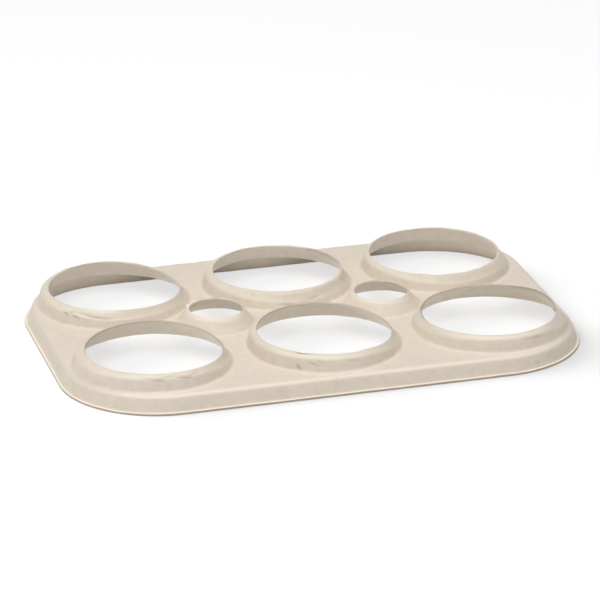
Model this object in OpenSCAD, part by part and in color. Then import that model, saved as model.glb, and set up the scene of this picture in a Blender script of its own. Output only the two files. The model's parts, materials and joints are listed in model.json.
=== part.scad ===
// Carrier for a block of drinks cans, pressed from plant-fibre pulp as one thin sheet.
// A flat deck with a flared skirt has a raised collar for the neck of each can
// and a smaller collared finger hole in the middle of every four cans.
// The origin is the centre of the foot, X runs along the length and Z points up.

/* [Cans] */
// Number of cans along the length
can_columns = 3; // [2:1:4]
// Number of cans across the width
can_rows = 2; // [2:1:3]
// Distance between the centres of neighbouring cans
can_pitch = 67; // [66.5:0.5:76]
// Diameter of the opening that clips under the seam of a can
can_opening_d = 52.6; // [48:0.1:53.4]

/* [Sheet] */
// Thickness of the pressed sheet
sheet_t = 0.8; // [0.6:0.05:1.2]

/* [Can collars] */
// Height of a can collar above the deck
can_collar_h = 6.2; // [4.5:0.1:9]
// Slope of a can collar's wall, in degrees from the deck
can_collar_slope = 75; // [70:1:84]
// Outer radius from a can collar's lip to its wall
can_shoulder_r = 2.7; // [1.5:0.1:3]
// Radius from a can collar's wall to the deck
can_fillet_r = 1; // [0.6:0.1:1.4]
// Width of the flat lip around a can opening
can_lip_w = 0.1; // [0.1:0.05:0.5]

/* [Finger holes] */
// Diameter of a finger hole
finger_hole_d = 21.3; // [16:0.1:22.5]
// Height of a finger collar above the deck
finger_collar_h = 5.7; // [4.5:0.1:7]
// Slope of a finger collar's wall, in degrees from the deck
finger_collar_slope = 68; // [66:1:84]
// Outer radius from a finger collar's lip to its wall
finger_shoulder_r = 2.2; // [1.5:0.1:2.8]
// Radius from a finger collar's wall to the deck
finger_fillet_r = 1.4; // [0.6:0.1:1.8]
// Width of the flat lip around a finger hole
finger_lip_w = 0.1; // [0.1:0.05:0.5]

/* [Skirt] */
// Height of the deck above the foot
deck_h = 7; // [5.5:0.1:12]
// Flat ledge between the outer collars and the deck's rounded edge
ledge_w = 0.45; // [0.2:0.05:4]
// Outer radius from the deck to the skirt
edge_r = 2.6; // [1.5:0.1:3.4]
// Slope of the skirt, in degrees from the foot
skirt_slope = 71; // [60:1:80]
// Radius from the skirt to the foot
foot_fillet_r = 0.6; // [0.4:0.1:1.2]
// Width of the flat rim around the foot
foot_w = 0.7; // [0.4:0.1:4]
// How much larger a corner's radius is than one that follows the collar inside it
corner_ease = 3; // [0:0.1:4]

/* [Hidden] */
$fn = 96;
fibre_colour = "#dfd2c1";
// Rounded stretches overlap straight ones by this much, so that they cross cleanly
blend = 0.005;
// How far cuts run past the faces that they open
cut = 1;

can_opening_r = can_opening_d / 2;
finger_hole_r = finger_hole_d / 2;
can_collar_run = step_run(can_collar_h, can_collar_slope, can_shoulder_r, can_fillet_r);
skirt_run = step_run(deck_h - sheet_t, skirt_slope, edge_r, foot_fillet_r);
// From the centre of an outer can to the outside of the foot
margin = can_opening_r + can_lip_w + can_collar_run + ledge_w + skirt_run + foot_w;
corner_r = margin + corner_ease;
// From the middle of the carrier to the centres of its rounded corners
corner_x = place(can_columns - 1, can_columns) - corner_ease;
corner_y = place(can_rows - 1, can_rows) - corner_ease;
total_h = deck_h + max(can_collar_h, finger_collar_h);

// Width, seen from above, of a sloped step with a rounded top and foot
function step_run(rise, slope, top_r, base_r) =
    rise / tan(slope) + (top_r + base_r) * tan(slope / 2);

// One of a row of places that are a can pitch apart, with the row's middle at 0
function place(index, count) = (index - (count - 1) / 2) * can_pitch;

// Level that the space under a face of the sheet reaches down to
function low_z(depth) = depth > 0 ? -cut : 0;

// Section of everything under a step that runs down from top_z to base_z, where the flat
// top ends at end_x. A depth of 0 follows the sheet's upper face, and sheet_t its lower face.
module step_section(end_x, top_z, base_z, slope, top_r, base_r, depth) {
    base_x = end_x + step_run(top_z - base_z, slope, top_r, base_r);
    facing = [sin(slope), cos(slope)];
    top_centre = [end_x, top_z - top_r];
    base_centre = [base_x, base_z + base_r];
    difference() {
        union() {
            polygon([
                [0, low_z(depth)],
                [base_x, low_z(depth)],
                [base_x, base_z - depth],
                base_centre - (base_r + depth) * facing,
                top_centre + (top_r - depth) * facing,
                [end_x, top_z - depth],
                [0, top_z - depth]
            ]);
            translate(top_centre) circle(top_r - depth + blend);
        }
        translate(base_centre) circle(base_r + depth + blend);
        translate([0, top_z - depth]) square([base_x, cut]);
    }
}

// Section from a corner's centre out to the foot, with the foot's flat rim on the upper face
module skirt_section(depth) {
    end_x = corner_r - foot_w - skirt_run;
    step_section(end_x, deck_h, sheet_t, skirt_slope, edge_r, foot_fillet_r, depth);
    if (depth == 0) square([corner_r, sheet_t]);
}

module can_collar(depth) {
    end_x = can_opening_r + can_lip_w;
    top_z = deck_h + can_collar_h;
    rotate_extrude()
        step_section(end_x, top_z, deck_h, can_collar_slope, can_shoulder_r, can_fillet_r, depth);
}

module finger_collar(depth) {
    end_x = finger_hole_r + finger_lip_w;
    top_z = deck_h + finger_collar_h;
    rotate_extrude()
        step_section(end_x, top_z, deck_h, finger_collar_slope, finger_shoulder_r, finger_fillet_r, depth);
}

// Straight stretch of the skirt that faces +X
module skirt_side(reach, half_length, depth) {
    translate([reach, half_length, 0])
        rotate([90, 0, 0])
            linear_extrude(2 * half_length) skirt_section(depth);
}

module skirt_corner(x, y, start, depth) {
    translate([x, y, 0])
        rotate(start)
            rotate_extrude(angle = 90) skirt_section(depth);
}

// Everything under one face of the deck and skirt
module tray(depth) {
    translate([-corner_x, -corner_y, low_z(depth)])
        cube([2 * corner_x, 2 * corner_y, deck_h - depth - low_z(depth)]);
    for (turn = [0, 180])
        rotate(turn) {
            skirt_side(corner_x, corner_y, depth);
            rotate(90) skirt_side(corner_y, corner_x, depth);
            skirt_corner(corner_x, corner_y, 0, depth);
            skirt_corner(-corner_x, corner_y, 90, depth);
        }
}

// Puts its children at the centre of every can
module at_cans() {
    for (column = [0 : can_columns - 1], row = [0 : can_rows - 1])
        translate([place(column, can_columns), place(row, can_rows), 0]) children();
}

// Puts its children in the middle of every four cans
module at_finger_holes() {
    for (column = [0 : can_columns - 2], row = [0 : can_rows - 2])
        translate([place(column, can_columns - 1), place(row, can_rows - 1), 0]) children();
}

// Everything under one face of the whole sheet, before the openings are cut
module under_face(depth) {
    tray(depth);
    at_cans() can_collar(depth);
    at_finger_holes() finger_collar(depth);
}

module opening(radius) {
    translate([0, 0, -cut]) cylinder(h = total_h + 2 * cut, r = radius);
}

module can_carrier() {
    color(fibre_colour)
        difference() {
            under_face(0);
            under_face(sheet_t);
            at_cans() opening(can_opening_r);
            at_finger_holes() opening(finger_hole_r);
        }
}

can_carrier();
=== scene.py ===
import json
import math

import bpy
import numpy as np
from mathutils import Matrix, Vector, noise
from mathutils.geometry import delaunay_2d_cdt


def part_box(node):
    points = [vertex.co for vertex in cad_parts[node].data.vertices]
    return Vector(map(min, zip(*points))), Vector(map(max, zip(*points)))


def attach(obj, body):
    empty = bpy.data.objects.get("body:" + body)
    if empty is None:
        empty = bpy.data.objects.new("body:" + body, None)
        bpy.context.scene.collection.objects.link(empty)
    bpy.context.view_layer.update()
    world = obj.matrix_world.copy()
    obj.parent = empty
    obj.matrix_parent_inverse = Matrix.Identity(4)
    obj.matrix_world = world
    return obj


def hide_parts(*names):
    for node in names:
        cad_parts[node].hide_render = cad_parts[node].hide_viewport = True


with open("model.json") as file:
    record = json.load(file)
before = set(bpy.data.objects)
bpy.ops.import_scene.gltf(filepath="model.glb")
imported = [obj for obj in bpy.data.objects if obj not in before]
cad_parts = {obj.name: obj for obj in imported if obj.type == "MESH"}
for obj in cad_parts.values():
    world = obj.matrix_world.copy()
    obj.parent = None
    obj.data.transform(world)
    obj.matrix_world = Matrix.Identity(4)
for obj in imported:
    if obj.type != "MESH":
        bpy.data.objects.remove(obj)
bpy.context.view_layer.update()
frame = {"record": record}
scene = bpy.context.scene
mm = 0.001

# Where the photographer stood, in degrees and metres, with the lens in millimetres
cameraView = {"turn": -15.455, "height": 21.542, "roll": -0.536, "lens": 218.03, "sensor": 36, "farthest": 50,
              "place": (-0.35409, -1.28112, 0.5368)}


def makeCamera(view):
    turn, height, roll = (math.radians(view[k]) for k in ("turn", "height", "roll"))
    level = Vector((math.cos(turn), math.sin(turn), 0))
    back = Vector((math.sin(turn) * math.cos(height), -math.cos(turn) * math.cos(height), math.sin(height)))
    rise = back.cross(level)
    right = math.cos(roll) * level + math.sin(roll) * rise
    up = math.cos(roll) * rise - math.sin(roll) * level
    lens = bpy.data.cameras.new("photoLens")
    lens.lens = view["lens"]
    lens.sensor_width = view["sensor"]
    lens.clip_end = view["farthest"]
    camera = bpy.data.objects.new("photoCamera", lens)
    scene.collection.objects.link(camera)
    place = Vector(view["place"])
    rows = [(right[i], up[i], back[i], place[i]) for i in range(3)]
    camera.matrix_world = Matrix(rows + [(0, 0, 0, 1)])
    scene.camera = camera


makeCamera(cameraView)
print("camera set")

# The pressed sheet, in millimetres and degrees. One value sets how much painted shade darkens a dent, and a
# raised mark takes painted highlight by the same amount; another sets the painted shade along the foot's rim;
# markReach is how far a mark works through the sheet
sheet = {"thickness": 0.8, "deckHeight": 7.0, "cornerEase": 3.0, "footWidth": 0.7,
         "rimRound": 0.22, "rimSquare": 0.7, "rimSteps": 5, "footShade": 1.0, "markShading": 2.4, "markReach": 1.2}
# Height of each layer of lumps, the size of one and where the layer lies in the noise
sheetLumps = [(0.11, 7.0, 3.1), (0.055, 3.0, 8.7), (0.022, 1.1, 5.3)]
sheetWarp = {"height": 0.25, "size": 55.0, "offset": 1.7, "edge": 12}

# Rows are counted over a step's rounded top, its wall and its rounded foot
skirtStep = {"rise": sheet["deckHeight"] - sheet["thickness"], "slope": 71, "shoulder": 2.6, "fillet": 0.6,
             "rows": (8, 5, 4), "underRows": (4, 2, 3)}
# In a collar's form, inside is painted shade on its inner face, and the wall-light value paints light on its
# upper face, fading from the lip to the foot
canCollar = {"rise": 6.2, "slope": 75, "shoulder": 2.7, "fillet": 1.0, "lip": 0.1,
             "around": 224, "rows": (9, 7, 6), "underRows": (4, 4, 4),
             "wave": 0.13, "lift": 0.10, "soft": 0.04, "inside": 0.0, "paintedWallLight": 0.0}
fingerCollar = {"rise": 5.7, "slope": 57, "shoulder": 1.8, "fillet": 0.8, "lip": 0.1,
                "around": 128, "rows": (8, 5, 6), "underRows": (3, 3, 3),
                "wave": 0.10, "lift": 0.08, "soft": 0.15, "inside": -0.4, "paintedWallLight": 0.45}

# What all collars share: how an eased wall falls, how far inside the lip's end a cut may lie, and the waves of
# a lip's outline and of its height
collarHabits = {"seed": 40, "easePower": 0.48, "softest": 0.9, "deepestCut": -1.3,
                "waveCounts": (2, 3, 5, 7, 11, 16, 23, 31), "waveFade": 0.5,
                "liftCounts": (2, 3, 4, 6, 9, 13), "liftFade": 0.4}

# How each collar strays from a true one. Flare, soft, tall, bulge and shade list angles, half widths and
# sizes: how much wider the wall is, how far it eases into the deck, how much higher the lip is, how far the
# collar leans out and how much painted shade darkens its inner face there. Shift moves the collar, trim moves
# and widens its cut edge, and edge paints shade onto that cut edge
collarQuirks = {
    "can_back_left": {
        "flare": [(-120, 30, 0.10), (-80, 40, 0.10), (0, 40, 0.15)],
        "soft": [(-80, 50, 0.4), (5, 45, 0.9)],
        "tall": [(90, 60, 0.5)], "shade": [(30, 35, 0.4)], "shift": (-0.7, 0.1), "trim": (0.75, 0.0, -0.15)},
    "can_back_middle": {
        "flare": [(-90, 40, 0.12)],
        "soft": [(-90, 55, 0.5), (0, 50, 0.85)],
        "shade": [(30, 35, 0.45)], "shift": (-0.3, 0.0), "trim": (0.2, 0.6, -0.7)},
    "can_back_right": {
        "flare": [(-90, 40, 0.10)],
        "soft": [(-90, 50, 0.45), (0, 45, 0.6)],
        "tall": [(90, 60, 0.4)], "shade": [(20, 35, 0.45)], "shift": (-0.6, 0.2), "trim": (-0.7, 0.0, -0.4)},
    "can_front_left": {
        "flare": [(183, 42, 0.42), (140, 25, 0.12)],
        "soft": [(0, 52, 0.9), (183, 45, 0.08)],
        "tall": [(90, 60, 0.5)], "trim": (0.2, 0.0, 0.15), "edge": 0.7},
    "can_front_middle": {
        "flare": [(180, 40, -0.15), (0, 40, 0.1)],
        "soft": [(0, 50, 0.85)],
        "tall": [(90, 60, 0.4)], "shade": [(55, 55, 0.3)], "trim": (0.6, 0.0, 0.0), "edge": 0.5},
    "can_front_right": {
        "flare": [(-80, 40, -0.10), (-8, 32, 0.37), (90, 40, 0.2)],
        "soft": [(180, 40, 0.4), (-8, 38, 0.75), (90, 50, 0.7)],
        "tall": [(90, 60, 0.15), (22, 30, 0.5)], "bulge": [(32, 24, 1.0)],
        "shade": [(45, 60, 0.55)], "trim": (-0.2, 0.0, 0.0), "edge": 1.0},
    "finger_hole_left": {
        "flare": [(110, 28, 0.08), (0, 22, 0.10)],
        "soft": [(-80, 50, 0.15), (10, 45, 0.7)],
        "shift": (-0.3, 0.0)},
    "finger_hole_right": {
        "flare": [(0, 22, 0.10)],
        "soft": [(-80, 50, 0.15), (10, 45, 0.7)],
        "trim": (0.0, 0.0, 0.1)},
}

# Small marks left by the mould and by handling, for each collar: angle, distance out from the lip, turn,
# length, width and depth, where a negative depth stands up
handlingMarks = {
    "can_back_left": [(-142, 2.5, 25, 1.6, 0.5, 0.34), (-138, 1.9, -20, 2.0, 0.5, 0.36),
                      (-133, 2.6, 15, 2.0, 0.5, 0.34), (-124, 1.7, 7, 4.0, 0.5, 0.40),
                      (-113, 2.1, 4, 4.0, 0.5, 0.42), (-102, 2.0, -5, 4.5, 0.5, 0.17),
                      (-91, 1.7, -6, 4.0, 0.5, 0.08)],
    "can_back_middle": [(-96, 2.8, 8, 4.0, 0.6, 0.25), (-76, 2.2, -9, 3.5, 0.6, 0.25)],
    "can_back_right": [(-107, 0.0, 0, 5.5, 0.5, 0.4)],
    "can_front_left": [(-160, 0.6, 0, 1.6, 0.7, 0.1), (-150, 0.6, 0, 1.4, 0.7, -0.15),
                       (-104, 2.3, 8, 3.5, 0.55, 0.36), (-93, 1.9, -10, 3.0, 0.55, 0.42),
                       (-82, 2.3, 10, 3.5, 0.55, 0.38), (-72, 1.9, -12, 3.0, 0.55, 0.32)],
    "can_front_middle": [(-123, 0.2, 0, 2.4, 0.5, 0.7), (-124.5, 3.3, 60, 1.0, 0.55, 0.5),
                         (-113, 2.9, 20, 2.0, 0.45, 0.2), (-108, 2.6, 24, 1.8, 0.45, 0.2),
                         (-84, 2.6, 12, 3.0, 0.6, 0.18), (-97.5, 6.9, 0, 0.8, 0.55, 0.3)],
    "can_front_right": [(-75, 8.3, 0, 0.8, 0.5, 0.3), (-70, 2.6, 5, 4.0, 0.6, 0.2),
                        (-48, 2.4, -8, 4.0, 0.6, 0.12), (-28, 3.2, 0, 7.0, 2.2, 0.12),
                        (-6, 3.0, 0, 7.0, 2.2, 0.17)],
    "finger_hole_left": [(143, 1.3, 0, 0.8, 0.6, -1.1), (122, 1.35, 0, 2.0, 0.5, -1.0),
                         (124, 0.5, 0, 1.6, 0.4, 0.6), (-86, 2.4, 10, 3.0, 0.6, 0.1),
                         (-60, 2.2, -10, 2.0, 0.6, 0.1)],
}


def bell(away, width):
    return np.exp(-(away / width) ** 2)


def angleBell(angle, centre, width):
    away = (angle - math.radians(centre) + math.pi) % (2 * math.pi) - math.pi
    return bell(away, math.radians(width))


def drawWaves(draw, counts, fade):
    return [(n, draw.uniform(-1, 1) / n ** fade, draw.uniform(0, 2 * math.pi)) for n in counts]


def addWaves(waves, angle):
    return sum(size * np.cos(n * angle + phase) for n, size, phase in waves)


# Width of a rounded step, seen from above
def stepRun(form):
    slope = math.radians(form["slope"])
    return form["rise"] / math.tan(slope) + (form["shoulder"] + form["fillet"]) * math.tan(slope / 2)


# Height of a rounded step above its foot, at a distance out from the end of its flat top
def stepHeight(out, form):
    slope = math.radians(form["slope"])
    rise, shoulder, fillet, run = form["rise"], form["shoulder"], form["fillet"], stepRun(form)
    u = np.clip(out, 0, run)
    wallStart = shoulder * math.sin(slope)
    wallEnd = run - fillet * math.sin(slope)
    top = rise - shoulder + np.sqrt(shoulder ** 2 - np.minimum(u, wallStart) ** 2)
    wall = rise - shoulder * (1 - math.cos(slope)) - (u - wallStart) * math.tan(slope)
    foot = fillet - np.sqrt(fillet ** 2 - np.minimum(run - u, fillet * math.sin(slope)) ** 2)
    return np.where(u < wallStart, top, np.where(u < wallEnd, wall, foot))


# Distances out at which the step gets a row of points, closest where it bends
def stepStations(form, counts):
    top, wall, foot = counts
    slope = math.radians(form["slope"])
    over = form["shoulder"] * np.sin(np.linspace(0, slope, top + 1))
    under = stepRun(form) - form["fillet"] * np.sin(np.linspace(slope, 0, foot + 1))
    between = np.linspace(over[-1], under[0], wall + 1)[1:-1]
    return np.concatenate([over, between, under])


class Opening:
    def __init__(self, mount, form, seed):
        self.name, self.form = mount["name"], form
        self.quirks = collarQuirks.get(self.name, {})
        shiftX, shiftY = self.quirks.get("shift", (0, 0))
        self.homeX, self.homeY = mount["pos_m"][0] / mm, mount["pos_m"][1] / mm
        self.x, self.y = self.homeX + shiftX, self.homeY + shiftY
        self.radius = mount["dims"]["r_mm"]
        draw = np.random.default_rng(seed)
        self.waves = drawWaves(draw, collarHabits["waveCounts"], collarHabits["waveFade"])
        self.lifts = drawWaves(draw, collarHabits["liftCounts"], collarHabits["liftFade"])

    # One of the collar's quirks at an angle
    def quirk(self, kind, angle):
        bumps = self.quirks.get(kind, [])
        return sum(size * angleBell(angle, centre, width) for centre, width, size in bumps)

    def lipEnd(self, angle):
        wave = self.form["wave"] * addWaves(self.waves, angle)
        return self.radius + self.form["lip"] + wave + self.quirk("bulge", angle)

    def widening(self, angle):
        return 1 + self.quirk("flare", angle)

    # Distance out from the end of the lip to the trimmed edge, which is inside it where this is negative
    def trimOut(self, angle):
        acrossX, acrossY, wider = self.quirks.get("trim", (0, 0, 0))
        cut = sheet["rimRound"] - self.form["lip"] + wider + acrossX * np.cos(angle) + acrossY * np.sin(angle)
        return np.maximum(cut, collarHabits["deepestCut"]) / self.widening(angle)

    def polar(self, x, y):
        return np.hypot(x - self.x, y - self.y), np.arctan2(y - self.y, x - self.x)

    # Height of the collar above the deck
    def height(self, x, y):
        distance, angle = self.polar(x, y)
        rise = self.form["rise"]
        lift = self.form["lift"] * addWaves(self.lifts, angle) + self.quirk("tall", angle)
        soft = np.clip(self.form["soft"] + self.quirk("soft", angle), 0, collarHabits["softest"])
        out = (distance - self.lipEnd(angle)) / self.widening(angle)
        eased = np.clip(out / stepRun(self.form), 0, 1) ** collarHabits["easePower"]
        easedHeight = rise * (1 - eased * eased * (3 - 2 * eased))
        return ((1 - soft) * stepHeight(out, self.form) + soft * easedHeight) * (1 + lift / rise)

    # A point of the ring that lies some distance out from the lip
    def at(self, out, angle):
        distance = self.lipEnd(angle) + out * self.widening(angle)
        return self.x + distance * np.cos(angle), self.y + distance * np.sin(angle)


openings = []
for mount in frame["record"]["mounts"]:
    if mount["kind"] == "bore":
        form = canCollar if mount["name"].startswith("can") else fingerCollar
        openings.append(Opening(mount, form, collarHabits["seed"] + len(openings)))

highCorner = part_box("can_carrier")[1]
halfX, halfY = highCorner.x / mm, highCorner.y / mm
skirtReach = sheet["footWidth"] + stepRun(skirtStep)
cornerX = max(o.homeX for o in openings) - sheet["cornerEase"]
cornerY = max(o.homeY for o in openings) - sheet["cornerEase"]
cornerR = halfX - cornerX


# How far a point lies inside the outline of the foot
def insideBy(x, y):
    overX, overY = np.abs(x) - cornerX, np.abs(y) - cornerY
    outer = np.hypot(np.maximum(overX, 0), np.maximum(overY, 0))
    return cornerR - outer - np.minimum(np.maximum(overX, overY), 0)


def slowNoise(x, y, z, size, offset):
    places = np.stack([x / size + offset, y / size - offset, z / size + 0.5 * offset], axis=-1).reshape(-1, 3)
    values = np.array([noise.noise(Vector(p)) for p in places])
    return values.reshape(np.shape(x))


# Upper face of the sheet, with every collar added to the tray
def sheetHeight(x, y):
    z = sheet["thickness"] + stepHeight(skirtReach - insideBy(x, y), skirtStep)
    for o in openings:
        z = z + o.height(x, y)
    return z


def sheetNormal(x, y):
    nudge = 0.01
    dx = (sheetHeight(x + nudge, y) - sheetHeight(x - nudge, y)) / (2 * nudge)
    dy = (sheetHeight(x, y + nudge) - sheetHeight(x, y - nudge)) / (2 * nudge)
    n = np.stack([-dx, -dy, np.ones_like(dx)], axis=-1)
    return n / np.linalg.norm(n, axis=-1, keepdims=True)


# Puts each mark on the sheet, with the directions along it, across it and into the sheet
marks = []
for o in openings:
    for angle, out, turn, length, width, depth in handlingMarks.get(o.name, []):
        a, t = math.radians(angle), math.radians(turn)
        x, y = (np.array(v) for v in o.at(out, a))
        n = sheetNormal(x, y)
        around = np.array([-math.sin(a), math.cos(a), 0])
        down = np.cross(around, n)
        marks.append({"centre": np.array([x, y, sheetHeight(x, y)]), "depth": depth,
                      "axes": [(math.cos(t) * around + math.sin(t) * down, length),
                               (math.cos(t) * down - math.sin(t) * around, width),
                               (n, sheet["markReach"])]})


# How far both faces move out where the sheet is lumpy or marked, and how deep the marks are there
def unevenness(places):
    x, y, z = places[..., 0], places[..., 1], places[..., 2]
    lumps = sum(height * slowNoise(x, y, z, size, offset) for height, size, offset in sheetLumps)
    dent = 0 * x
    for mark in marks:
        away = places - mark["centre"]
        near = sum((away @ axis / reach) ** 2 for axis, reach in mark["axes"])
        dent = dent + mark["depth"] * np.exp(-near)
    return lumps - dent, dent


# The foot stays flat on the floor
def warp(x, y):
    lift = sheetWarp["height"] * slowNoise(x, y, 0 * x, sheetWarp["size"], sheetWarp["offset"])
    return lift * np.clip(insideBy(x, y) / sheetWarp["edge"], 0, 1)


# How far a point of the deck lies outside the nearest collar, and how far to the front of that collar
def clearOfCollars(x, y):
    gap, front = np.full(np.shape(x), np.inf), np.zeros(np.shape(x))
    for o in openings:
        distance, angle = o.polar(x, y)
        clear = distance - o.lipEnd(angle) - stepRun(o.form) * o.widening(angle)
        front = np.where(clear < gap, -np.sin(angle), front)
        gap = np.minimum(gap, clear)
    return gap, front


# Painted highlight, where the light falls brightest: rounded edges tilted toward the front, the line around a
# collar's foot, the ledge in front of it and the top of the foot rim
paintedHighlightLook = {"span": 0.35, "sharpest": 0.38, "tilt": 42, "tiltSpread": 17, "sideShare": 0.12,
             "line": 0.4, "lineGap": 0.4, "lineWidth": 0.8, "ledge": 0.6, "ledgeWidth": 2.5,
             "collarEdge": -0.6, "flatTilt": 25, "flattest": 1e-6, "rim": 1.6, "rimPast": 0.3, "rimFade": 0.2}


def paintedHighlightAt(x, y):
    look, span = paintedHighlightLook, paintedHighlightLook["span"]
    bendX = sheetNormal(x + span, y)[..., 0] - sheetNormal(x - span, y)[..., 0]
    bendY = sheetNormal(x, y + span)[..., 1] - sheetNormal(x, y - span)[..., 1]
    n = sheetNormal(x, y)
    tilt = np.degrees(np.arccos(np.clip(n[..., 2], -1, 1)))
    frontal = np.clip(-n[..., 1] / np.maximum(np.hypot(n[..., 0], n[..., 1]), look["flattest"]), 0, 1)
    rounded = np.clip((bendX + bendY) / (2 * span) / look["sharpest"], 0, 1)
    rounded = rounded * bell(tilt - look["tilt"], look["tiltSpread"])
    # Edges facing the front take more painted highlight than those facing the sides, as the light falls
    rounded = rounded * (look["sideShare"] + (1 - look["sideShare"]) * frontal ** 2)
    inside = insideBy(x, y)
    gap, front = clearOfCollars(x, y)
    front = np.clip(front, 0, 1)
    line = look["line"] * front ** 2 * bell(gap - look["lineGap"], look["lineWidth"])
    ledge = look["ledge"] * front ** 3 * bell(np.maximum(gap, 0), look["ledgeWidth"])
    ledge = ledge * bell(np.maximum(inside - skirtReach, 0), look["ledgeWidth"]) * (gap > 0)
    beside = np.where(gap > look["collarEdge"], np.maximum(line, ledge), 0) * bell(tilt, look["flatTilt"])
    # The top of the foot rim takes a painted highlight too
    rim = look["rim"] * np.clip((sheet["footWidth"] + look["rimPast"] - inside) / look["rimFade"], 0, 1)
    return np.maximum(np.maximum(rounded, beside), rim)


# Points of the upper or lower face, with the painted highlight and shade each one takes: painted shade in
# dents and a painted highlight on raised marks
def placed(x, y, below):
    n = sheetNormal(x, y)
    places = np.stack([x, y, sheetHeight(x, y)], axis=-1)
    move, dent = unevenness(places)
    places = places + n * move[..., None]
    places[..., 2] += warp(x, y)
    if below:
        places = places - sheet["thickness"] * n
        places[..., 2] = np.maximum(places[..., 2], 0)
        return places, 0 * x
    # Dents get painted shade and raised marks a painted highlight
    return places, paintedHighlightAt(x, y) - sheet["markShading"] * dent


# Rows that close the sheet's edge in a soft rounded rim, which takes the painted shade of the marks beside it
# and more painted shade by the given amount
def rimRows(upper, lower, outwards, rimShade):
    rows = []
    crest = np.minimum(upper[1], 0) - rimShade
    middle, half = (upper[0] + lower[0]) / 2, (upper[0] - lower[0]) / 2
    for k in range(1, sheet["rimSteps"] + 1):
        turn = math.pi / 2 - math.pi * k / (sheet["rimSteps"] + 1)
        high = math.copysign(abs(math.sin(turn)) ** sheet["rimSquare"], math.sin(turn))
        wide = sheet["rimRound"] * math.cos(turn) ** sheet["rimSquare"]
        rows.append((middle + high * half + wide * outwards, crest))
    return rows


points, paintedShading, quads, zones = [], [], [], []
pressedFace, underFace, rimFace = 0, 1, 2


def addPoints(places, crest):
    start = sum(len(p) for p in points)
    points.append(places)
    paintedShading.append(crest)
    return start


# Joins rows of points that run around the sheet or an opening, and gives the number of each row's first point
def addRows(rows, rowZones):
    starts = [addPoints(row, crest) for row, crest in rows]
    around = len(rows[0][0])
    j = np.arange(around)
    after = (j + 1) % around
    for a, b, zone in zip(starts, starts[1:], rowZones):
        quads.append(np.stack([a + j, b + j, b + after, a + after], axis=-1))
        zones.append(np.full(around, zone))
    return starts


# Room between a collar's first rows, which follow its cut edge, and those that follow its step
collarRows = {"afterCut": 0.12, "least": 0.3, "upperGap": 0.15, "underGap": 0.3}


# Gives the loop where the collar meets the deck: its outline, and its first point's number above and below
def makeCollar(o):
    form, run = o.form, stepRun(o.form)
    angle = np.linspace(0, 2 * math.pi, form["around"], endpoint=False)
    first = o.trimOut(angle)
    start = max(first.max() + collarRows["afterCut"], collarRows["least"])
    second = np.full(len(angle), start)
    upperOut = stepStations(form, form["rows"])
    upperOut = upperOut[upperOut > start + collarRows["upperGap"]]
    upperOut = [first, (first + second) / 2, second, *upperOut]
    lowerOut = stepStations(form, form["underRows"])
    lowerOut = lowerOut[lowerOut > start + collarRows["underGap"]]
    lowerOut = [first, second, *lowerOut]
    upper, lower = [], []
    for out in upperOut:
        row, crest = placed(*o.at(out, angle), False)
        # Painted light on the collar's upper face, strongest at the lip
        upper.append((row, crest + form["paintedWallLight"] * np.clip(1 - (out / run) ** 2, 0, 1)))
    for out in lowerOut:
        row, crest = placed(*o.at(out, angle), True)
        # Painted shade on the collar's inner face, all round and by angle
        lower.append((row, crest + form["inside"] - o.quirk("shade", angle)))
    inwards = np.stack([-np.cos(angle), -np.sin(angle), 0 * angle], axis=-1)
    # The collar's cut edge takes painted shade by the edge quirk
    rim = rimRows(upper[0], lower[0], inwards, o.quirks.get("edge", 0))
    rowZones = [underFace] * (len(lower) - 1) + [rimFace] * (len(rim) + 1) + [pressedFace] * (len(upper) - 1)
    starts = addRows(lower[::-1] + rim[::-1] + upper, rowZones)
    return o.at(upperOut[-1], angle), starts[-1], starts[0]


loops = [makeCollar(o) for o in openings]
print("collars shaped:", len(openings))

# Distances in from the outline of the foot. Rows further in than held are squeezed where a collar is close
skirtFit = {"spacing": 1.0, "held": 2.4, "least": 2.6, "past": 0.2, "searchPast": 0.25, "searchStep": 0.04,
            "searchSkip": 0.06, "clear": 0.4, "smoothing": 6}


# The outline of the foot, as corner centres or places beside them with the direction that faces out
def footOutline():
    found = []
    for signX, signY, first in ((1, 1, 0), (-1, 1, 90), (-1, -1, 180), (1, -1, 270)):
        steps = int(cornerR * math.pi / 2 / skirtFit["spacing"])
        for k in range(steps + 1):
            a = math.radians(first + 90 * k / steps)
            found.append((signX * cornerX, signY * cornerY, math.cos(a), math.sin(a)))
        side = 2 * (cornerX if first in (0, 180) else cornerY)
        steps = int(side / skirtFit["spacing"])
        a = math.radians(first + 90)
        for k in range(1, steps):
            along = side * k / steps
            moveX, moveY = {0: (-along, 0), 90: (0, -along), 180: (along, 0), 270: (0, along)}[first]
            found.append((signX * cornerX + moveX, signY * cornerY + moveY, math.cos(a), math.sin(a)))
    return np.array(found)


corners = footOutline()


def outlineAt(inside):
    reach = cornerR - inside
    return corners[:, 0] + reach * corners[:, 2], corners[:, 1] + reach * corners[:, 3]


# How far in the skirt's last row can lie, all around, before it meets a collar
def lastRowInside():
    last = np.full(len(corners), skirtFit["least"])
    for inside in np.arange(skirtFit["least"], skirtReach + skirtFit["searchPast"], skirtFit["searchStep"]):
        free = clearOfCollars(*outlineAt(inside))[0] > skirtFit["clear"]
        last = np.where(free & (last > inside - skirtFit["searchSkip"]), inside, last)
    for k in range(skirtFit["smoothing"]):
        last = np.minimum(last, (np.roll(last, 1) + np.roll(last, -1)) / 2)
    return last


lastInside = lastRowInside()


def skirtRow(inside, below):
    held = skirtFit["held"]
    if inside > held:
        inside = held + (inside - held) * ((lastInside - held) / (skirtReach + skirtFit["past"] - held))
    return placed(*outlineAt(inside), below)


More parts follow.
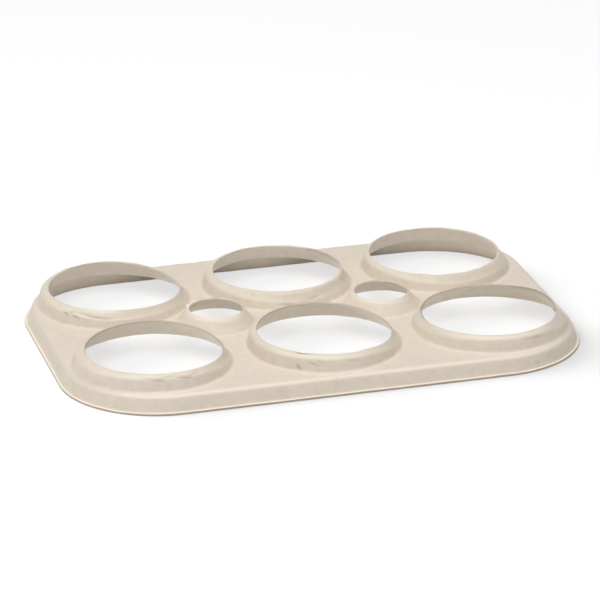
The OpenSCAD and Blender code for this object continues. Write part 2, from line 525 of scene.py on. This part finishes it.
def makeSkirt():
    faces = []
    for counts, below in ((skirtStep["rows"], False), (skirtStep["underRows"], True)):
        step = skirtReach - stepStations(skirtStep, counts)
        distances = [skirtReach + skirtFit["past"], *step, sheet["rimRound"]]
        faces.append([skirtRow(inside, below) for inside in distances])
    upper, lower = faces
    facing = np.concatenate([corners[:, 2:], np.zeros((len(corners), 1))], axis=1)
    # The foot's rim gets painted shade where it meets the floor
    rim = rimRows(upper[-1], lower[-1], facing, sheet["footShade"])
    rowZones = [pressedFace] * (len(upper) - 1) + [rimFace] * (len(rim) + 1) + [underFace] * (len(lower) - 1)
    starts = addRows(upper + rim + lower[::-1], rowZones)
    return outlineAt(lastInside), starts[0], starts[-1]


loops.append(makeSkirt())
print("skirt shaped:", len(corners), "points around")

# The deck between the collars and the skirt, filled with a net of points whose triangles are about even
deckFill = {"spacing": 1.25, "rowShare": 0.866, "collarGap": 0.55, "skirtGap": 0.75, "merge": 1e-7}


def deckNet():
    step = deckFill["spacing"]
    x, y = np.meshgrid(np.arange(-halfX, halfX, step), np.arange(-halfY, halfY, step * deckFill["rowShare"]))
    x[1::2] += step / 2
    x, y = x.ravel(), y.ravel()
    inner = clearOfCollars(x, y)[0] > deckFill["collarGap"]
    inner = inner & (insideBy(x, y) > skirtReach + deckFill["skirtGap"])
    return x[inner], y[inner]


def makeDeck():
    flat, edges, upperIndex, lowerIndex, loopOf = [], [], [], [], []
    for number, ((x, y), top, bottom) in enumerate(loops):
        count, first = len(x), len(flat)
        flat += list(zip(x, y))
        edges += [(first + k, first + (k + 1) % count) for k in range(count)]
        upperIndex += list(range(top, top + count))
        lowerIndex += list(range(bottom, bottom + count))
        loopOf += [number] * count
    netX, netY = deckNet()
    flat += list(zip(netX, netY))
    loopOf = np.array(loopOf + [-1] * len(netX))
    for below, index in ((False, upperIndex), (True, lowerIndex)):
        start = addPoints(*placed(netX, netY, below))
        index += list(range(start, start + len(netX)))
    found = delaunay_2d_cdt([Vector(p) for p in flat], edges, [], 0, deckFill["merge"])
    foundPoints, foundFaces, cameFrom = found[0], found[2], found[3]
    assert len(foundPoints) == len(flat), "the deck's loops cross"
    faces = np.array([[cameFrom[k][0] for k in face] for face in foundFaces])
    # Triangles inside an opening or beyond the skirt's loop go
    flat = np.array(flat)
    middle = flat[faces].mean(axis=1)
    loop = loopOf[faces]
    sameLoop = (loop[:, 0] == loop[:, 1]) & (loop[:, 1] == loop[:, 2])
    inHole = sameLoop & (loop[:, 0] >= 0) & (clearOfCollars(middle[:, 0], middle[:, 1])[0] < 0)
    beyond = sameLoop & (loop[:, 0] == len(loops) - 1)
    faces = faces[~(inHole | beyond)]
    corner = flat[faces]
    spin = np.cross(corner[:, 1] - corner[:, 0], corner[:, 2] - corner[:, 0])
    faces = np.where((spin < 0)[:, None], faces[:, ::-1], faces)
    return np.array(upperIndex)[faces], np.array(lowerIndex)[faces][:, ::-1]


deckTop, deckUnder = makeDeck()
zones += [np.full(len(deckTop), pressedFace), np.full(len(deckUnder), underFace)]
print("deck filled:", len(deckTop), "triangles a face")

allPoints = np.concatenate(points) * mm
allQuads = np.concatenate(quads)
mesh = bpy.data.meshes.new("pulpSheet")
mesh.from_pydata(allPoints.tolist(), [], allQuads.tolist() + deckTop.tolist() + deckUnder.tolist())
mesh.polygons.foreach_set("use_smooth", np.ones(len(mesh.polygons), bool))
mesh.polygons.foreach_set("material_index", np.concatenate(zones).astype(np.int32))
# The crest attribute carries painted highlight above 0 and painted shade below 0
paintedShadingData = mesh.attributes.new("crest", "FLOAT", "POINT").data
paintedShadingData.foreach_set("value", np.concatenate(paintedShading).astype(np.float32))
mesh.validate()
mesh.update()
pulpSheet = bpy.data.objects.new("pulpSheet", mesh)
scene.collection.objects.link(pulpSheet)
print("sheet meshed:", 2 * len(allQuads) + len(deckTop) + len(deckUnder), "triangles")


# Sets a node's properties and sockets. A socket is named, or numbered as in input0, and takes a value
# or the output that it is linked to
def feed(tree, made, **values):
    for key, value in values.items():
        if hasattr(made, key):
            setattr(made, key, value)
            continue
        socket = made.inputs[int(key[-1]) if key.startswith("input") else key.replace("_", " ")]
        if isinstance(value, bpy.types.NodeSocket):
            tree.links.new(value, socket)
        else:
            socket.default_value = value


def node(tree, kind, place, **values):
    made = tree.nodes.new(kind)
    made.location = place
    feed(tree, made, **values)
    return made


def mixColours(tree, place, factor, first, second):
    mixed = node(tree, "ShaderNodeMix", place, data_type="RGBA", Factor=factor, A=first, B=second)
    return mixed.outputs["Result"]


# Pressed plant fibre: soft clouds, fine flecks and a low grain, with the painted highlight and painted shade
# that the crest attribute carries
# The crest colour is the painted highlight and the darkest one the painted shade
pulpLook = {"pale": (0.780, 0.694, 0.580, 1), "deep": (0.710, 0.629, 0.523, 1), "cut": (0.60, 0.525, 0.43, 1),
            "fleck": (0.56, 0.47, 0.36, 1), "crest": (0.88, 0.79, 0.67, 1), "paintedShade": (0.48, 0.41, 0.32, 1),
            "cloudSize": 330.0, "fleckAmount": 0.3, "grainSize": 1500.0,
            "twistSize": 90.0, "twist": (0.012, 0.012, 0.012), "stretch": (1.0, 5.0, 3.0), "fibreSize": 420.0,
            "fibreRelief": 0.5, "smoothest": 0.40, "roughest": 0.54, "shine": 0.3, "reliefDepth": 0.0001}


def makePulpGroup(look):
    group = bpy.data.node_groups.new("pulpFibre", "ShaderNodeTree")
    takes = {"Pale": look["pale"], "Deep": look["deep"], "Fleck": look["fleck"],
             "Cloud Size": look["cloudSize"], "Fleck Amount": look["fleckAmount"],
             "Grain Size": look["grainSize"], "Crest": 0.0,
             "Crest Color": look["crest"], "Hollow Color": look["paintedShade"]}
    gives = {"Color": "NodeSocketColor", "Roughness": "NodeSocketFloat", "Height": "NodeSocketFloat"}
    for name, value in takes.items():
        kind = "NodeSocketColor" if isinstance(value, tuple) else "NodeSocketFloat"
        group.interface.new_socket(name, in_out="INPUT", socket_type=kind).default_value = value
    for name, kind in gives.items():
        group.interface.new_socket(name, in_out="OUTPUT", socket_type=kind)
    given = node(group, "NodeGroupInput", (-900, 0)).outputs
    where = node(group, "ShaderNodeTexCoord", (-900, -300)).outputs["Object"]
    clouds = node(group, "ShaderNodeTexNoise", (-600, 200), Vector=where, Scale=given["Cloud Size"],
                  Detail=6.0, Roughness=0.62)
    spread = node(group, "ShaderNodeMapRange", (-400, 200), Value=clouds.outputs["Fac"],
                  From_Min=0.3, From_Max=0.7)
    clouded = mixColours(group, (-150, 200), spread.outputs["Result"], given["Deep"], given["Pale"])
    # Short fibres lie every way, so the flecks come from a twisted and stretched noise
    twist = node(group, "ShaderNodeTexNoise", (-900, -550), Vector=where, Scale=look["twistSize"], Detail=2.0)
    bend = node(group, "ShaderNodeVectorMath", (-700, -450), operation="MULTIPLY_ADD",
                input0=twist.outputs["Color"], input1=look["twist"], input2=where)
    squeeze = node(group, "ShaderNodeMapping", (-500, -450), Vector=bend.outputs["Vector"],
                   Scale=look["stretch"])
    fibres = node(group, "ShaderNodeTexNoise", (-300, -450), Vector=squeeze.outputs["Vector"],
                  Scale=look["fibreSize"], Detail=2.0)
    flecks = node(group, "ShaderNodeMapRange", (-100, -450), Value=fibres.outputs["Fac"],
                  From_Min=0.66, From_Max=0.74)
    amount = node(group, "ShaderNodeMath", (80, -350), operation="MULTIPLY",
                  input0=flecks.outputs["Result"], input1=given["Fleck Amount"])
    flecked = mixColours(group, (300, 200), amount.outputs["Value"], clouded, given["Fleck"])
    # Above 0 the crest value paints a highlight that makes the pulp paler, and below 0 it paints shade that
    # makes it deeper
    raised = node(group, "ShaderNodeMapRange", (300, 500), Value=given["Crest"])
    sunk = node(group, "ShaderNodeMapRange", (300, 700), Value=given["Crest"], From_Max=-1.0)
    paintedHighlit = mixColours(group, (450, 300), raised.outputs["Result"], flecked, given["Crest Color"])
    paintedShaded = mixColours(group, (600, 300), sunk.outputs["Result"], paintedHighlit, given["Hollow Color"])
    grain = node(group, "ShaderNodeTexNoise", (-300, -150), Vector=where, Scale=given["Grain Size"],
                 Detail=4.0, Roughness=0.6)
    rough = node(group, "ShaderNodeMapRange", (100, -100), Value=grain.outputs["Fac"],
                 From_Min=0.25, From_Max=0.75, To_Min=look["smoothest"], To_Max=look["roughest"])
    height = node(group, "ShaderNodeMath", (300, -300), operation="MULTIPLY_ADD",
                  input0=fibres.outputs["Fac"], input1=look["fibreRelief"], input2=grain.outputs["Fac"])
    node(group, "NodeGroupOutput", (800, 0), Color=paintedShaded, Roughness=rough.outputs["Result"],
         Height=height.outputs["Value"])
    return group


pulpGroup = makePulpGroup(pulpLook)


def pulpMaterial(name, relief, **values):
    material = bpy.data.materials.new(name)
    material.use_nodes = True
    tree = material.node_tree
    # Painted highlight and shade from the crest attribute
    crest = node(tree, "ShaderNodeAttribute", (-850, 0), attribute_name="crest")
    fibre = node(tree, "ShaderNodeGroup", (-600, 0), node_tree=pulpGroup,
                 Crest=crest.outputs["Fac"], **values)
    bump = node(tree, "ShaderNodeBump", (-300, -200), Strength=relief, Distance=pulpLook["reliefDepth"],
                Height=fibre.outputs["Height"])
    feed(tree, tree.nodes["Principled BSDF"], Specular_IOR_Level=pulpLook["shine"],
         Base_Color=fibre.outputs["Color"], Roughness=fibre.outputs["Roughness"],
         Normal=bump.outputs["Normal"])
    return material


mesh.materials.append(pulpMaterial("pressedPulp", 0.35))
mesh.materials.append(pulpMaterial("undersidePulp", 0.5, Grain_Size=1100.0, Fleck_Amount=0.4))
# The trimmed edges are darker, partly their cut fibre's own tone and partly painted shade
mesh.materials.append(pulpMaterial("trimmedPulp", 0.6, Grain_Size=2200.0, Fleck_Amount=0.15,
                                   Pale=pulpLook["cut"], Deep=pulpLook["deep"]))
print("pulp finished")

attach(pulpSheet, "root")
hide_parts("can_carrier")

# A white floor that still takes the soft shadow, in metres and degrees. Glow and shade are what the camera
# sees of it, and bounce is how much light it gives back to the sheet
studio = {"floorSize": 8.0, "floorDrop": 0.00005, "underSheetEdge": (0.5 * mm, 1.5 * mm),
          "open": {"glow": 0.25, "shade": 0.5, "bounce": 0.57},
          # Under the sheet, the higher glow is painted light that lifts the shade there
          "under": {"glow": 0.68, "shade": 0.22, "bounce": 0.82},
          "fill": 0.53, "fillLean": (-0.08, -0.08, 0.0), "fillSides": (-0.24, 0.0, 0.0), "backdrop": 1.0,
          "key": {"place": (-0.22, -0.15, 1.1), "size": 0.8, "power": 8.2},
          "floorSun": {"turn": 142, "height": 29, "spread": 45, "strength": 3.9}}


def floorMaterial(look):
    material = bpy.data.materials.new("paleFloor")
    material.use_nodes = True
    tree = material.node_tree
    tree.nodes.remove(tree.nodes["Principled BSDF"])
    path = node(tree, "ShaderNodeLightPath", (-700, 300)).outputs
    seen = node(tree, "ShaderNodeMath", (-450, 250), operation="MAXIMUM",
                input0=path["Is Camera Ray"], input1=path["Is Glossy Ray"])
    seenAll = node(tree, "ShaderNodeMath", (-300, 250), operation="MAXIMUM",
                   input0=seen.outputs["Value"], input1=path["Is Transmission Ray"])
    # Under the sheet the floor glows brighter to the camera, painted light that lifts the shade seen through
    # the openings, and it is whiter for the light it gives back; the foot covers the edge of that patch
    where = node(tree, "ShaderNodeTexCoord", (-1500, -100))
    mirror = node(tree, "ShaderNodeVectorMath", (-1300, -100), operation="ABSOLUTE",
                  input0=where.outputs["Object"])
    beyond = node(tree, "ShaderNodeVectorMath", (-1100, -100), operation="SUBTRACT",
                  input0=mirror.outputs["Vector"], input1=(cornerX * mm, cornerY * mm, 0))
    outer = node(tree, "ShaderNodeVectorMath", (-900, -100), operation="MAXIMUM",
                 input0=beyond.outputs["Vector"], input1=(0, 0, 0))
    reach = node(tree, "ShaderNodeVectorMath", (-700, -100), operation="LENGTH",
                 input0=outer.outputs["Vector"])
    edgeStart, edgeEnd = (cornerR * mm - inside for inside in look["underSheetEdge"])
    underSheet = node(tree, "ShaderNodeMapRange", (-550, -100), Value=reach.outputs["Value"],
                From_Min=edgeStart, From_Max=edgeEnd)

    def level(key, place):
        grey = node(tree, "ShaderNodeMapRange", place, Value=underSheet.outputs["Result"],
                    To_Min=look["open"][key], To_Max=look["under"][key])
        return grey.outputs["Result"]

    plain = node(tree, "ShaderNodeBsdfDiffuse", (-300, 50), Color=level("bounce", (-500, 50)))
    shade = node(tree, "ShaderNodeBsdfDiffuse", (-300, -100), Color=level("shade", (-500, -150)))
    glow = node(tree, "ShaderNodeEmission", (-300, -250), Strength=level("glow", (-500, -300)))
    white = node(tree, "ShaderNodeAddShader", (-100, -150),
                 input0=shade.outputs["BSDF"], input1=glow.outputs["Emission"])
    both = node(tree, "ShaderNodeMixShader", (50, 100), Fac=seenAll.outputs["Value"],
                input1=plain.outputs["BSDF"], input2=white.outputs["Shader"])
    feed(tree, tree.nodes["Material Output"], Surface=both.outputs["Shader"])
    return material


def makeFloor(look):
    half, level = look["floorSize"] / 2, -look["floorDrop"]
    sides = ((-half, -half), (half, -half), (half, half), (-half, half))
    floorMesh = bpy.data.meshes.new("paleFloor")
    floorMesh.from_pydata([(x, y, level) for x, y in sides], [], [(0, 1, 2, 3)])
    floorMesh.materials.append(floorMaterial(look))
    floor = bpy.data.objects.new("paleFloor", floorMesh)
    scene.collection.objects.link(floor)
    return floor


# The fill comes less from the sides than from above, and a little more from the left than from the right
def makeFill(look):
    world = bpy.data.worlds.new("studio")
    scene.world = world
    world.use_nodes = True
    tree = world.node_tree
    path = node(tree, "ShaderNodeLightPath", (-700, 0)).outputs
    seen = node(tree, "ShaderNodeMath", (-450, 0), operation="MAXIMUM",
                input0=path["Is Camera Ray"], input1=path["Is Transmission Ray"])
    where = node(tree, "ShaderNodeTexCoord", (-900, -250)).outputs["Generated"]
    lean = node(tree, "ShaderNodeVectorMath", (-700, -250), operation="DOT_PRODUCT",
                input0=where, input1=look["fillLean"])
    square = node(tree, "ShaderNodeVectorMath", (-700, -450), operation="MULTIPLY",
                  input0=where, input1=where)
    sides = node(tree, "ShaderNodeVectorMath", (-500, -450), operation="DOT_PRODUCT",
                 input0=square.outputs["Vector"], input1=look["fillSides"])
    uneven = node(tree, "ShaderNodeMath", (-500, -250), operation="ADD",
                  input0=lean.outputs["Value"], input1=sides.outputs["Value"])
    fill = node(tree, "ShaderNodeMath", (-350, -250), operation="ADD",
                input0=uneven.outputs["Value"], input1=look["fill"])
    strength = node(tree, "ShaderNodeMix", (-250, 0), data_type="FLOAT", Factor=seen.outputs["Value"],
                    A=fill.outputs["Value"], B=look["backdrop"])
    feed(tree, tree.nodes["Background"], Color=(1, 1, 1, 1), Strength=strength.outputs["Result"])


def addLamp(lamp, place):
    holder = bpy.data.objects.new(lamp.name, lamp)
    holder.location = place
    holder.rotation_euler = (-Vector(place)).to_track_quat("-Z", "Y").to_euler()
    scene.collection.objects.link(holder)
    return holder


def makeKeyLight(look):
    lamp = bpy.data.lights.new("keyLight", "AREA")
    lamp.size, lamp.energy = look["size"], look["power"]
    addLamp(lamp, look["place"])


# A low soft sun that only the floor takes draws the shadow out to the right
def makeFloorSun(look, floor):
    sun = bpy.data.lights.new("floorSun", "SUN")
    sun.energy, sun.angle = look["strength"], math.radians(look["spread"])
    turn, height = math.radians(look["turn"]), math.radians(look["height"])
    towards = (math.cos(turn) * math.cos(height), math.sin(turn) * math.cos(height), math.sin(height))
    onlyFloor = bpy.data.collections.new("onlyFloor")
    onlyFloor.objects.link(floor)
    addLamp(sun, towards).light_linking.receiver_collection = onlyFloor


makeFill(studio)
makeKeyLight(studio["key"])
makeFloorSun(studio["floorSun"], makeFloor(studio))
scene.view_settings.view_transform = "Standard"
print("studio lit")
